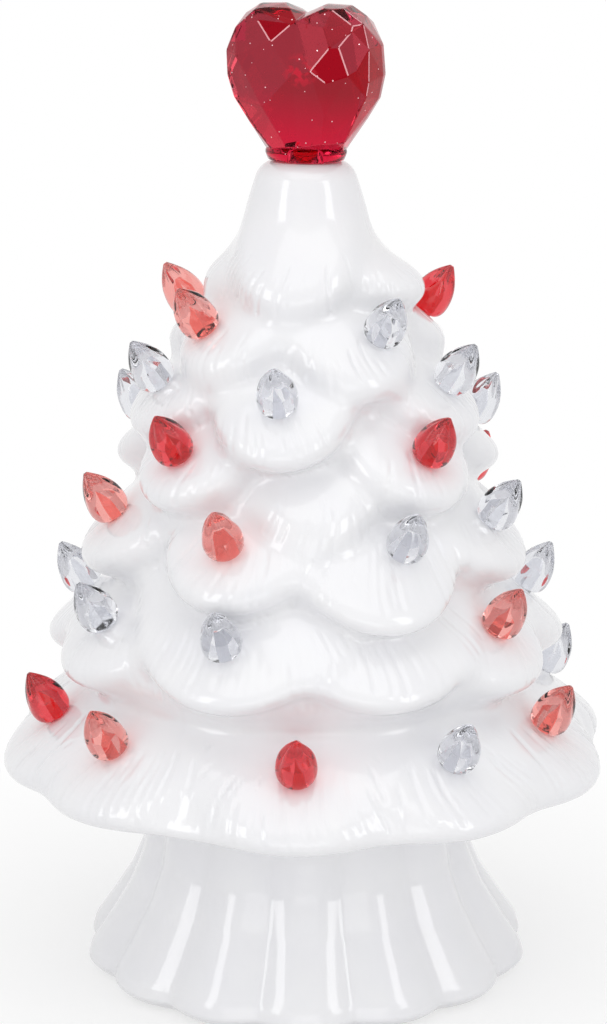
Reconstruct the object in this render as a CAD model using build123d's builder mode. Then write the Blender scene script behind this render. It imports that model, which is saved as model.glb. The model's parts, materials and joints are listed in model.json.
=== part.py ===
"""Glazed ceramic tabletop tree with a faceted heart on top, lit from inside its fluted base.

Millimetres. The origin is the centre of the base's foot, +Z is up and the front faces -Y.
Bearings are degrees round the trunk from the front, positive towards +X.
"""
import os
from collections import namedtuple
from math import asin, cos, radians, sin

from build123d import *

os.makedirs("parts", exist_ok=True)

# Fluted base: height and radius of its crests at each level of the flare
BASE_HEIGHT = 47.0
BASE_TOP_RADIUS = 37.5
BASE_FOOT_ROLL = [(0.0, 46.8), (2.6, 49.6)]
BASE_FLARE = [(6.0, 50.5), (14.0, 46.4), (22.0, 42.0), (30.0, 39.2), (38.5, 37.9)]
FLUTES = 14
FLUTE_DEPTH = 2.6
COLLAR_RADIUS = 31.7
COLLAR_HEIGHT = 5.0
BASE_OPENING_RADIUS = 27.0
BASE_OPENING_HEIGHT = 36.0
BASE_HOLLOW_RADIUS = 35.5
BASE_HOLLOW_HEIGHT = 14.0

# Tree shell: its heights are above the top of the base, which carries it
SEAT_RADIUS = 40.0
COLLAR_CLEARANCE = 0.35
SHELL_WALL = 6.0
TRUNK_ROUNDING = 2.5
SKIRT_LIP_RADIUS = 66.0
SKIRT_LIP_HEIGHT = 4.5
CAVITY_SHOULDER_HEIGHT = 15.0
NECK_RADIUS = 10.8
NECK_HEIGHT = 146.7
TOPPER_HOLE_RADIUS = 6.0

# Branch lobes: each is a pebble with a low crown, leaning down and outwards. The crown's height and its
# shoulder are shares of the half width and of the crown, the undercut's level a share of the depth.
# Tiers run from the skirt up to the neck. tip_height and reach place the rim's lowest point, droop is
# the lean below level, depth and hollow are the disc's thickness and the depth of the hollow inside it,
# skirt is the trunk's radius between lobes, throat the trunk's waist above the tier, lit and bare the
# bearings of lobes with and without a bulb.
Tier = namedtuple(
    "Tier", "tip_height reach half_width droop depth hollow skirt throat throat_height lit bare"
)
TIERS = [
    Tier(9.0, 72.6, 20.0, 24, 6.0, 2.5, 70.0, 52.0, 23.0, (-74, -46, -2, 33, 65, 108, 159, 200, 242), ()),
    Tier(34.0, 62.8, 18.5, 24, 12.0, 6.0, 57.5, 44.0, 48.0, (-97, -62, -20, 56, 97, 138, 180, 221), (20,)),
    Tier(56.5, 54.8, 17.5, 26, 12.0, 6.0, 48.0, 37.0, 70.0, (-76, -23, 29, 68, 123, 159, 195, 233), ()),
    Tier(75.7, 47.8, 15.5, 24, 12.0, 6.0, 39.5, 31.0, 83.0, (-46, 43, 105, 177, 250), (3, 141, 214)),
    Tier(88.5, 43.3, 16.0, 25, 12.0, 6.0, 34.0, 25.0, 99.0, (-71, -10, 66, 138, 216), ()),
    Tier(104.0, 34.3, 13.5, 25, 12.0, 5.0, 27.0, 19.5, 113.0, (-55, 37, 104, 177, 250), ()),
    Tier(120.5, 28.4, 12.0, 25, 11.0, 5.0, 21.5, 13.5, 131.0, (), (-90, -10, 68, 140, 213)),
]
LOBE_CROWN = 0.26
LOBE_SHOULDER = (0.72, 0.42)
LOBE_RIM_DROP = 2.4
LOBE_UNDERCUT = 5.0
LOBE_UNDERCUT_LEVEL = 0.75
LOBE_WALL = 4.0
SKIRT_DROP = 2.0

# Peg bulbs
PEG_RADIUS = 2.4
PEG_LENGTH = 6.0
PEG_CLEARANCE = 0.05
PEG_HOLE_DEPTH = 7.0
BULB_RADIUS = 4.6
BULB_BULGE_HEIGHT = 4.4
BULB_SHOULDER_HEIGHT = 8.4
BULB_SHOULDER_RADIUS = 3.1
BULB_HEIGHT = 13.0
BULB_FLARE = (1, 0.5)
BULB_POINT = (-0.6, 1)
BULB_OFFSET = 5.0
BULB_SEAT_CLEARANCE = 0.1

# Heart topper: outline of its right half as (across, above the neck), then the flat table in front
HEART_GIRDLE = [(0, 32.6), (5.2, 35.7), (11.0, 35.5), (15.6, 32.2), (18.4, 26.6), (18.2, 20.0),
                (15.0, 12.6), (8.0, 2.6), (0, 2.6)]
HEART_TABLE = [(0, 27.2), (4.6, 29.8), (10.4, 28.6), (13.4, 23.0), (11.4, 16.0), (5.4, 8.4), (0, 7.4)]
HEART_GIRDLE_HALF_DEPTH = 4.0
HEART_HALF_DEPTH = 10.5
HEART_YAW = -16.0
HEART_FOOT = (8.3, 7.4)
HEART_FOOT_HEIGHT = 3.2
STEM_RADIUS = 5.65
STEM_LENGTH = 13.0
STEM_BORE_RADIUS = 3.0
STEM_BORE_HEIGHT = 9.0

# Battery module under the base, and the clearance left round its loose pieces
RECESS = 1.5
FLANGE_RADIUS = 37.3
FLANGE_THICKNESS = 3.0
LOOSE = 0.3
CELL_RADIUS = 5.25
CELL_LENGTH = 44.5
CELL_NUB_RADIUS = 1.9
CELL_NUB_LENGTH = 0.8
CELL_COUNT = 3
CELL_GAP = 0.6
TRAY_CENTRE_Y = -4.0
TRAY_WALL = 1.4
CONTACT_THICKNESS = 0.5
CONTACT_REACH = 1.1
CONTACT_TAIL_WIDTH = 2.0
BOARD_THICKNESS = 1.6
BOARD_RADIUS = 29.0
BOARD_STANDOFF = 2.0
BOSS_RADIUS = 2.6
BOSS_SPREAD = 15.0
SCREW_RADIUS = 1.0
SCREW_HEAD_RADIUS = 2.0
SCREW_HEAD_HEIGHT = 1.4
SCREW_LENGTH = 3.0
SCREW_CLEARANCE = 0.05
LED_COUNT = 3
LED_RADIUS = 2.5
LED_RIM_RADIUS = 2.9
LED_RIM_HEIGHT = 1.0
LED_HEIGHT = 8.7
LED_RING_RADIUS = 11.0

# Battery door and its hinge
DOOR_LIP = 1.5
DOOR_HINGE_GAP = 0.9
DOOR_THICKNESS = 1.7
REBATE_DEPTH = 2.0
HINGE_BARREL_RADIUS = 1.3
HINGE_BARREL_LENGTH = 24.0
HINGE_PIN_RADIUS = 0.7
HINGE_PIN_LENGTH = 2.0
HINGE_PIN_CLEARANCE = 0.05
HINGE_ROOM = 0.6
DOOR_RIB_WIDTH = 2.0
DOOR_RIB_SPREAD = 14.0
DOOR_TAB_WIDTH = 10.0
DOOR_TAB_REACH = 2.0

# Slide switch
SWITCH_Y = 20.5
SWITCH_BODY = (12.6, 6.4, 6.5)
SWITCH_TRAVEL = 3.0
SWITCH_KNOB = (4.0, 2.6)
SWITCH_KNOB_DROP = 0.8
SWITCH_CARRIAGE = (5.0, 3.4, 2.6)
SWITCH_PIN = (0.8, 0.5)
SWITCH_PIN_PITCH = 2.5

# Levels that follow from the sizes above
MOUTH_RADIUS = COLLAR_RADIUS + COLLAR_CLEARANCE
NECK_TOP = BASE_HEIGHT + NECK_HEIGHT
FLANGE_TOP = RECESS + FLANGE_THICKNESS
CELL_AXIS_HEIGHT = FLANGE_TOP + LOOSE + CELL_RADIUS
TRAY_INNER_TOP = CELL_AXIS_HEIGHT + CELL_RADIUS + LOOSE
TRAY_TOP = TRAY_INNER_TOP + TRAY_WALL
BOARD_BOTTOM = TRAY_TOP + BOARD_STANDOFF
BOARD_TOP = BOARD_BOTTOM + BOARD_THICKNESS
CELL_PITCH = 2 * CELL_RADIUS + CELL_GAP
TRAY_INNER = (CELL_LENGTH + 2 * (CONTACT_REACH + CONTACT_THICKNESS),
              CELL_PITCH * (CELL_COUNT - 1) + 2 * CELL_RADIUS + 2 * LOOSE)
TRAY_OUTER = (TRAY_INNER[0] + 2 * TRAY_WALL, TRAY_INNER[1] + 2 * TRAY_WALL)
DOOR_OPENING = (TRAY_INNER[0] + 2 * DOOR_LIP, TRAY_INNER[1] + 2 * DOOR_LIP)
DOOR_EDGE_Y = TRAY_CENTRE_Y - DOOR_OPENING[1] / 2
HINGE_Y = DOOR_EDGE_Y - HINGE_BARREL_RADIUS
HINGE_Z = RECESS + FLANGE_THICKNESS / 2
CELL_ROWS = [TRAY_CENTRE_Y + CELL_PITCH * (i - (CELL_COUNT - 1) / 2) for i in range(CELL_COUNT)]


def bearing_vector(bearing):
    """Level unit vector out of the trunk at a bearing."""
    return Vector(sin(radians(bearing)), -cos(radians(bearing)), 0)


def finish(part, name):
    """Name a finished piece and write it."""
    part.label = name
    export_step(part, f"parts/{name}.step")


# Base pedestal: a fluted flare, open below for the battery module and above for the light
def flute_outline(radius):
    """Ring of outward arcs that meet in valleys FLUTE_DEPTH inside the crests."""
    pitch = 360 / FLUTES
    for index in range(FLUTES):
        ThreePointArc(
            bearing_vector((index - 0.5) * pitch) * (radius - FLUTE_DEPTH),
            bearing_vector(index * pitch) * radius,
            bearing_vector((index + 0.5) * pitch) * (radius - FLUTE_DEPTH),
        )


with BuildPart() as base_pedestal:
    for levels in (BASE_FLARE + [(BASE_HEIGHT, BASE_TOP_RADIUS)], BASE_FOOT_ROLL + BASE_FLARE[:1]):
        for height, radius in levels:
            with BuildSketch(Plane.XY.offset(height)):
                with BuildLine():
                    flute_outline(radius)
                make_face()
        loft()
    with BuildSketch(Plane.XY.offset(BASE_HEIGHT)):
        Circle(COLLAR_RADIUS)
    extrude(amount=COLLAR_HEIGHT)
    with BuildSketch(Plane.XZ):
        with BuildLine():
            Polyline(
                (0, 0),
                (FLANGE_RADIUS + LOOSE, 0),
                (FLANGE_RADIUS + LOOSE, FLANGE_TOP),
                (BASE_HOLLOW_RADIUS, FLANGE_TOP),
                (BASE_HOLLOW_RADIUS, BASE_HOLLOW_HEIGHT),
                (BASE_OPENING_RADIUS, BASE_OPENING_HEIGHT),
                (BASE_OPENING_RADIUS, BASE_HEIGHT + COLLAR_HEIGHT),
                (0, BASE_HEIGHT + COLLAR_HEIGHT),
                close=True,
            )
        make_face()
    revolve(axis=Axis.Z, mode=Mode.SUBTRACT)
finish(base_pedestal.part, "base_pedestal")


# Tree shell: a bell-shaped trunk with a waist above each tier, lobes leaning out of it, hollow inside
def lobe_plane(tier, bearing):
    """Plane of a lobe's rim: it leans down by the droop, with its own X towards the tip."""
    out = bearing_vector(bearing)
    droop = radians(tier.droop)
    along = out * cos(droop) - Vector(0, 0, sin(droop))
    normal = out * sin(droop) + Vector(0, 0, cos(droop))
    tip = out * tier.reach + Vector(0, 0, BASE_HEIGHT + tier.tip_height)
    return Plane(origin=tip - along * tier.half_width, x_dir=along, z_dir=normal)


def bulb_plane(tier, bearing):
    """Plane square to a lobe's crown, BULB_OFFSET out from the crown's middle."""
    crown = tier.half_width * LOBE_CROWN
    dome_radius = (tier.half_width**2 + crown**2) / (2 * crown)
    lean = asin(BULB_OFFSET / dome_radius)
    plane = lobe_plane(tier, bearing)
    seat = Vector(BULB_OFFSET, 0, crown - dome_radius * (1 - cos(lean)) + BULB_SEAT_CLEARANCE)
    above = seat + Vector(sin(lean), 0, cos(lean))
    origin = plane.from_local_coords(seat)
    return Plane(origin=origin, x_dir=plane.y_dir, z_dir=plane.from_local_coords(above) - origin)


def lobe_solid(tier):
    """Round pebble: a low crown, a full rim and an undercut below it."""
    crown = tier.half_width * LOBE_CROWN
    with BuildPart() as lobe:
        with BuildSketch(Plane.XZ):
            with BuildLine():
                Spline(
                    (0, crown),
                    (tier.half_width * LOBE_SHOULDER[0], crown * LOBE_SHOULDER[1]),
                    (tier.half_width, -LOBE_RIM_DROP),
                    (tier.half_width - LOBE_UNDERCUT, -tier.depth * LOBE_UNDERCUT_LEVEL),
                    (0, -tier.depth),
                    tangents=[(1, 0), (-1, 0)],
                )
                Line((0, -tier.depth), (0, crown))
            make_face()
        revolve(axis=Axis.Z)
    return lobe.part


def lobe_hollow(tier):
    """Cylinder that leaves LOBE_WALL under the crown and at the rim."""
    top = tier.half_width * LOBE_CROWN - LOBE_WALL
    with BuildPart() as hollow:
        with BuildSketch(Plane.XY.offset(top)):
            Circle(tier.half_width - LOBE_WALL)
        extrude(amount=-(top + tier.hollow))
    return hollow.part


def tier_locations(tier, bearings):
    return [lobe_plane(tier, bearing).location for bearing in bearings]


trunk_outline = [
    (0, BASE_HEIGHT),
    (SEAT_RADIUS, BASE_HEIGHT),
    (SKIRT_LIP_RADIUS, BASE_HEIGHT + SKIRT_LIP_HEIGHT),
]
cavity_outline = [
    (0, BASE_HEIGHT),
    (MOUTH_RADIUS, BASE_HEIGHT),
    (MOUTH_RADIUS, BASE_HEIGHT + COLLAR_HEIGHT + LOOSE),
    (TIERS[0].throat - SHELL_WALL, BASE_HEIGHT + CAVITY_SHOULDER_HEIGHT),
]
for tier in TIERS:
    skirt_height = BASE_HEIGHT + tier.tip_height - SKIRT_DROP
    throat_height = BASE_HEIGHT + tier.throat_height
    trunk_outline += [(tier.skirt, skirt_height), (tier.throat, throat_height)]
    cavity_outline += [(tier.throat - SHELL_WALL, throat_height)]
trunk_outline += [(NECK_RADIUS, NECK_TOP), (0, NECK_TOP)]
cavity_outline += [
    (TOPPER_HOLE_RADIUS, throat_height + SHELL_WALL),
    (TOPPER_HOLE_RADIUS, NECK_TOP),
    (0, NECK_TOP),
]
lobes = [lobe_solid(tier) for tier in TIERS]
hollows = [lobe_hollow(tier) for tier in TIERS]
bulb_planes = [[bulb_plane(tier, bearing) for bearing in tier.lit] for tier in TIERS]

with BuildPart() as shell_cavity:
    with BuildSketch(Plane.XZ):
        with BuildLine():
            Polyline(*cavity_outline, close=True)
        make_face()
    revolve(axis=Axis.Z)
    for tier, hollow in zip(TIERS, hollows):
        with Locations(*tier_locations(tier, tier.lit + tier.bare)):
            add(hollow)

with BuildPart() as tree_shell:
    with BuildSketch(Plane.XZ):
        with BuildLine():
            FilletPolyline(*trunk_outline, radius=TRUNK_ROUNDING)
            Line((0, NECK_TOP), (0, BASE_HEIGHT))
        make_face()
    revolve(axis=Axis.Z)
    for tier, lobe in zip(TIERS, lobes):
        with Locations(*tier_locations(tier, tier.lit + tier.bare)):
            add(lobe)
    add(shell_cavity.part, mode=Mode.SUBTRACT)
    for plane in [plane for row in bulb_planes for plane in row]:
        with BuildSketch(plane):
            Circle(PEG_RADIUS + PEG_CLEARANCE)
    extrude(amount=PEG_HOLE_DEPTH, both=True, mode=Mode.SUBTRACT)
finish(tree_shell.part, "tree_shell")


# Peg bulbs: a teardrop on a straight peg, one in each lit lobe, counted tier by tier from the neck
with BuildPart() as peg_bulb:
    with BuildSketch(Plane.XZ):
        with BuildLine():
            Polyline((0, BULB_HEIGHT), (0, -PEG_LENGTH), (PEG_RADIUS, -PEG_LENGTH), (PEG_RADIUS, 0))
            Spline(
                (PEG_RADIUS, 0),
                (BULB_RADIUS, BULB_BULGE_HEIGHT),
                (BULB_SHOULDER_RADIUS, BULB_SHOULDER_HEIGHT),
                (0, BULB_HEIGHT),
                tangents=[BULB_FLARE, BULB_POINT],
            )
        make_face()
    revolve(axis=Axis.Z)

for row, planes in enumerate(reversed(bulb_planes), start=1):
    for count, plane in enumerate(planes, start=1):
        with BuildPart() as bulb:
            with Locations(plane.location):
                add(peg_bulb.part)
        finish(bulb.part, f"bulb_tier{row}_{count}")


# Heart topper: two faceted halves on a foot, with a hollow stem down into the neck
def heart_points(side):
    """Corners of one half: two rings at the girdle and a table at the front and at the back."""
    points = []
    for face in (-1, 1):
        points += [(side * x, face * HEART_GIRDLE_HALF_DEPTH, z) for x, z in HEART_GIRDLE]
        points += [(side * x, face * HEART_HALF_DEPTH, z) for x, z in HEART_TABLE]
    return points


HEART_PLANE = Plane.XY.offset(NECK_TOP).rotated((0, 0, HEART_YAW))
with BuildPart() as heart_topper:
    with Locations(HEART_PLANE.location):
        for side in (-1, 1):
            ConvexPolyhedron(heart_points(side))
    with BuildSketch(HEART_PLANE):
        Ellipse(*HEART_FOOT)
    extrude(amount=HEART_FOOT_HEIGHT)
    with BuildSketch(HEART_PLANE):
        Circle(STEM_RADIUS)
    extrude(amount=-STEM_LENGTH)
    with BuildSketch(HEART_PLANE.offset(-STEM_LENGTH)):
        Circle(STEM_BORE_RADIUS)
    extrude(amount=STEM_LENGTH + STEM_BORE_HEIGHT, mode=Mode.SUBTRACT)
finish(heart_topper.part, "heart_topper")


# Battery housing: a round flange in the base's recess, with the cell tray standing on it
with BuildPart() as battery_housing:
    with BuildSketch(Plane.XY.offset(RECESS)):
        Circle(FLANGE_RADIUS)
    extrude(amount=FLANGE_THICKNESS)
    with BuildSketch(Plane.XY.offset(FLANGE_TOP)):
        with Locations((0, TRAY_CENTRE_Y)):
            Rectangle(*TRAY_OUTER)
    extrude(amount=TRAY_TOP - FLANGE_TOP)
    with BuildSketch(Plane.XY.offset(TRAY_TOP)):
        with Locations((0, TRAY_CENTRE_Y)):
            with GridLocations(2 * BOSS_SPREAD, 0, 2, 1):
                Circle(BOSS_RADIUS)
    extrude(amount=BOARD_STANDOFF)
    # Cells drop in from below, and the door lies in a rebate round their opening
    with BuildSketch(Plane.XY.offset(RECESS)):
        with Locations((0, TRAY_CENTRE_Y)):
            Rectangle(*TRAY_INNER)
    extrude(amount=TRAY_INNER_TOP - RECESS, mode=Mode.SUBTRACT)
    with BuildSketch(Plane.XY.offset(RECESS)):
        with Locations((0, TRAY_CENTRE_Y)):
            Rectangle(*DOOR_OPENING)
        with Locations((0, TRAY_CENTRE_Y + DOOR_OPENING[1] / 2)):
            Rectangle(DOOR_TAB_WIDTH + 2 * LOOSE, 2 * (DOOR_TAB_REACH + LOOSE))
    extrude(amount=REBATE_DEPTH, mode=Mode.SUBTRACT)
    # Room for the hinge barrel, and the two holes for its pins
    with BuildSketch(Plane.XY.offset(RECESS)):
        with Locations((0, HINGE_Y)):
            Rectangle(HINGE_BARREL_LENGTH + 2 * LOOSE, 2 * (HINGE_BARREL_RADIUS + HINGE_ROOM))
    extrude(amount=FLANGE_THICKNESS, mode=Mode.SUBTRACT)
    with BuildSketch(Plane.YZ):
        with Locations((HINGE_Y, HINGE_Z)):
            Circle(HINGE_PIN_RADIUS + HINGE_PIN_CLEARANCE)
    extrude(
        amount=HINGE_BARREL_LENGTH / 2 + HINGE_PIN_LENGTH + LOOSE, both=True, mode=Mode.SUBTRACT
    )
    # Slot for the switch knob, pilot holes for the board's screws, slits for the contacts' tails
    with BuildSketch(Plane.XY.offset(RECESS)):
        with Locations((SWITCH_TRAVEL / 2, SWITCH_Y)):
            Rectangle(SWITCH_KNOB[0] + SWITCH_TRAVEL + 2 * LOOSE, SWITCH_KNOB[1] + 2 * LOOSE)
    extrude(amount=FLANGE_THICKNESS, mode=Mode.SUBTRACT)
    with BuildSketch(Plane.XY.offset(TRAY_INNER_TOP)):
        with Locations((0, TRAY_CENTRE_Y)):
            with GridLocations(2 * BOSS_SPREAD, 0, 2, 1):
                Circle(SCREW_RADIUS)
    extrude(amount=BOARD_BOTTOM - TRAY_INNER_TOP, mode=Mode.SUBTRACT)
    with BuildSketch(Plane.XY.offset(TRAY_INNER_TOP)):
        with Locations((0, TRAY_CENTRE_Y)):
            with GridLocations(TRAY_INNER[0] - CONTACT_THICKNESS, 2 * CELL_PITCH, 2, 2):
                Rectangle(CONTACT_THICKNESS + 2 * LOOSE, CONTACT_TAIL_WIDTH + 2 * LOOSE)
    extrude(amount=TRAY_WALL, mode=Mode.SUBTRACT)
finish(battery_housing.part, "battery_housing")

# Battery door: a plate on a hinge barrel, with ribs that hold the cells up and a finger tab
with BuildPart() as battery_door:
    with BuildSketch(Plane.XY.offset(RECESS)):
        with Locations((0, DOOR_EDGE_Y + DOOR_HINGE_GAP)):
            Rectangle(
                DOOR_OPENING[0] - 2 * LOOSE,
                DOOR_OPENING[1] - LOOSE - DOOR_HINGE_GAP,
                align=(Align.CENTER, Align.MIN),
            )
        with Locations((0, TRAY_CENTRE_Y + DOOR_OPENING[1] / 2)):
            Rectangle(DOOR_TAB_WIDTH, 2 * DOOR_TAB_REACH)
        with Locations((0, HINGE_Y)):
            Rectangle(HINGE_BARREL_LENGTH, 4 * HINGE_BARREL_RADIUS, align=(Align.CENTER, Align.MIN))
    extrude(amount=DOOR_THICKNESS)
    with BuildSketch(Plane.XY.offset(RECESS + DOOR_THICKNESS)):
        with Locations((0, TRAY_CENTRE_Y)):
            with GridLocations(2 * DOOR_RIB_SPREAD, 0, 2, 1):
                Rectangle(DOOR_RIB_WIDTH, TRAY_INNER[1] - 4 * LOOSE)
    extrude(amount=CELL_AXIS_HEIGHT - CELL_RADIUS - LOOSE - RECESS - DOOR_THICKNESS)
    with BuildSketch(Plane.YZ):
        with Locations((HINGE_Y, HINGE_Z)):
            Circle(HINGE_BARREL_RADIUS)
    extrude(amount=HINGE_BARREL_LENGTH / 2, both=True)
    with BuildSketch(Plane.YZ):
        with Locations((HINGE_Y, HINGE_Z)):
            Circle(HINGE_PIN_RADIUS)
    extrude(amount=HINGE_BARREL_LENGTH / 2 + HINGE_PIN_LENGTH, both=True)
finish(battery_door.part, "battery_door")

# Cells, laid head to tail
for index, row_y in enumerate(CELL_ROWS):
    heading = 1 if index % 2 == 0 else -1
    with BuildPart() as cell:
        tail = Plane(origin=(-heading * CELL_LENGTH / 2, row_y, CELL_AXIS_HEIGHT), z_dir=(heading, 0, 0))
        with BuildSketch(tail):
            Circle(CELL_RADIUS)
        extrude(amount=CELL_LENGTH - CELL_NUB_LENGTH)
        with BuildSketch(tail):
            Circle(CELL_NUB_RADIUS)
        extrude(amount=CELL_LENGTH)
    finish(cell.part, f"battery_cell_{index + 1}")

# Contacts: bent strips at the tray's ends, two single and two that link neighbouring cells
CONTACT_HALF_WIDTH = CELL_RADIUS - 2 * LOOSE
CONTACT_ROWS = [
    (-1, CELL_ROWS[:1], -1),
    (1, CELL_ROWS[:2], -1),
    (-1, CELL_ROWS[1:], 1),
    (1, CELL_ROWS[2:], 1),
]
for index, (end, rows, tail_side) in enumerate(CONTACT_ROWS):
    wall_x = end * TRAY_INNER[0] / 2
    turn = -end
    with BuildPart() as contact:
        with BuildSketch(Plane(origin=(wall_x, 0, 0), x_dir=(0, 1, 0), z_dir=(1, 0, 0))):
            middle = (rows[0] + rows[-1]) / 2
            width = rows[-1] - rows[0] + 2 * CONTACT_HALF_WIDTH
            with Locations((middle, CELL_AXIS_HEIGHT)):
                Rectangle(width, 2 * CONTACT_HALF_WIDTH)
            with Locations((TRAY_CENTRE_Y + tail_side * CELL_PITCH, CELL_AXIS_HEIGHT)):
                Rectangle(
                    CONTACT_TAIL_WIDTH,
                    BOARD_BOTTOM - CELL_AXIS_HEIGHT,
                    align=(Align.CENTER, Align.MIN),
                )
        extrude(amount=turn * CONTACT_THICKNESS)
        for row_y in rows:
            with BuildSketch(Plane.XY.offset(CELL_AXIS_HEIGHT - CELL_NUB_RADIUS)):
                with BuildLine():
                    inner_x = wall_x + turn * CONTACT_THICKNESS
                    tip_x = inner_x + turn * CONTACT_REACH
                    Polyline(
                        (inner_x, row_y - 2 * CELL_NUB_RADIUS),
                        (tip_x, row_y - CELL_NUB_RADIUS / 2),
                        (tip_x, row_y + CELL_NUB_RADIUS / 2),
                        (inner_x, row_y + 2 * CELL_NUB_RADIUS),
                        close=True,
                    )
                make_face()
            extrude(amount=2 * CELL_NUB_RADIUS)
    finish(contact.part, f"battery_contact_{index + 1}")

# Lamp board on the tray's bosses, its screws, and the lamps
with BuildPart() as lamp_board:
    with BuildSketch(Plane.XY.offset(BOARD_BOTTOM)):
        Circle(BOARD_RADIUS)
        with Locations((0, TRAY_CENTRE_Y)):
            with GridLocations(2 * BOSS_SPREAD, 0, 2, 1):
                Circle(SCREW_RADIUS + LOOSE, mode=Mode.SUBTRACT)
    extrude(amount=BOARD_THICKNESS)
finish(lamp_board.part, "lamp_board")

with BuildPart() as board_screws:
    with BuildSketch(Plane.XY.offset(BOARD_TOP)):
        with Locations((0, TRAY_CENTRE_Y)):
            with GridLocations(2 * BOSS_SPREAD, 0, 2, 1):
                Circle(SCREW_HEAD_RADIUS)
    extrude(amount=SCREW_HEAD_HEIGHT)
    with BuildSketch(Plane.XY.offset(BOARD_TOP)):
        with Locations((0, TRAY_CENTRE_Y)):
            with GridLocations(2 * BOSS_SPREAD, 0, 2, 1):
                Circle(SCREW_RADIUS - SCREW_CLEARANCE)
    extrude(amount=-SCREW_LENGTH)
finish(board_screws.part, "board_screws")

for index in range(LED_COUNT):
    spot = bearing_vector(index * 360 / LED_COUNT) * LED_RING_RADIUS
    with BuildPart() as lamp:
        with BuildSketch(Plane(origin=(spot.X, spot.Y, BOARD_TOP), x_dir=(1, 0, 0), z_dir=(0, -1, 0))):
            with BuildLine():
                dome_base = LED_HEIGHT - LED_RADIUS
                Polyline(
                    (0, 0),
                    (LED_RIM_RADIUS, 0),
                    (LED_RIM_RADIUS, LED_RIM_HEIGHT),
                    (LED_RADIUS, LED_RIM_HEIGHT),
                    (LED_RADIUS, dome_base),
                )
                TangentArc((LED_RADIUS, dome_base), (0, LED_HEIGHT), tangent=(0, 1))
                Line((0, LED_HEIGHT), (0, 0))
            make_face()
        revolve(axis=Axis((spot.X, spot.Y, 0), (0, 0, 1)))
    finish(lamp.part, f"lamp_{index + 1}")

# Slide switch: a hollow body on the flange with its pins up to the board, and the slider below
with BuildPart() as switch_body:
    with BuildSketch(Plane.XY.offset(FLANGE_TOP)):
        with Locations((SWITCH_TRAVEL / 2, SWITCH_Y)):
            Rectangle(SWITCH_BODY[0], SWITCH_BODY[1])
    extrude(amount=SWITCH_BODY[2])
    with BuildSketch(Plane.XY.offset(FLANGE_TOP)):
        with Locations((SWITCH_TRAVEL / 2, SWITCH_Y)):
            Rectangle(SWITCH_CARRIAGE[0] + SWITCH_TRAVEL + 2 * LOOSE, SWITCH_CARRIAGE[1] + 2 * LOOSE)
    extrude(amount=SWITCH_CARRIAGE[2] + 2 * LOOSE, mode=Mode.SUBTRACT)
    with BuildSketch(Plane.XY.offset(FLANGE_TOP + SWITCH_BODY[2])):
        with Locations((SWITCH_TRAVEL / 2, SWITCH_Y)):
            with GridLocations(SWITCH_PIN_PITCH, 0, 3, 1):
                Rectangle(*SWITCH_PIN)
    extrude(amount=BOARD_BOTTOM - FLANGE_TOP - SWITCH_BODY[2])
finish(switch_body.part, "switch_body")

with BuildPart() as switch_slider:
    with BuildSketch(Plane.XY.offset(FLANGE_TOP + LOOSE)):
        with Locations((0, SWITCH_Y)):
            Rectangle(SWITCH_CARRIAGE[0], SWITCH_CARRIAGE[1])
    extrude(amount=SWITCH_CARRIAGE[2])
    with BuildSketch(Plane.XY.offset(FLANGE_TOP + LOOSE)):
        with Locations((0, SWITCH_Y)):
            Rectangle(*SWITCH_KNOB)
    extrude(amount=-(FLANGE_THICKNESS + LOOSE + SWITCH_KNOB_DROP))
finish(switch_slider.part, "switch_slider")
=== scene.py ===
"""Looks of a white glazed ceramic tree: lobed shell, fluted base, clear peg bulbs and a faceted heart.

Sizes are in millimetres and become metres where a mesh is made. The front faces -Y. Bearings are degrees
round the trunk from the front, positive towards +X.
"""
import json
import math
from collections import namedtuple

import bmesh
import bpy
import numpy as np
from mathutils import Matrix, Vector


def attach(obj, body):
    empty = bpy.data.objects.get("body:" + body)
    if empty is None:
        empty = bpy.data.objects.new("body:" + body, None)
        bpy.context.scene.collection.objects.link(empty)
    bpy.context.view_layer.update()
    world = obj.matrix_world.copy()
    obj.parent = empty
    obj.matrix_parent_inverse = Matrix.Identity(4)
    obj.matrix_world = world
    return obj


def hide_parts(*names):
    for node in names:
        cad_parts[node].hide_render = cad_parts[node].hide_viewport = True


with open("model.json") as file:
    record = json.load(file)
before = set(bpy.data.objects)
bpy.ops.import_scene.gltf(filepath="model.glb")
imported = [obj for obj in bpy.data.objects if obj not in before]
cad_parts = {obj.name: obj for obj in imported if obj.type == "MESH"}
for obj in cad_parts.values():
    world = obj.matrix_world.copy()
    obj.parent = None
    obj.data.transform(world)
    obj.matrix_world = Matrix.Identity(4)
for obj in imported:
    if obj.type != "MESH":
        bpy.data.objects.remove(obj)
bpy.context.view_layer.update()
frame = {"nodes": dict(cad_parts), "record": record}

MM = 0.001
UP = np.array([0.0, 0.0, 1.0])
TINY = 1e-9
rng = np.random.default_rng(7)

# Camera
CAMERA_BACK = 739.0
CAMERA_HEIGHT = 311.0
CAMERA_SIDE = -0.6
AIM_HEIGHT = 113.0
MM_PER_PIXEL = 0.2344
IMAGE_HEIGHT = 1024
IMAGE_MIDDLE = 501.1
SENSOR = 36.0

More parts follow.
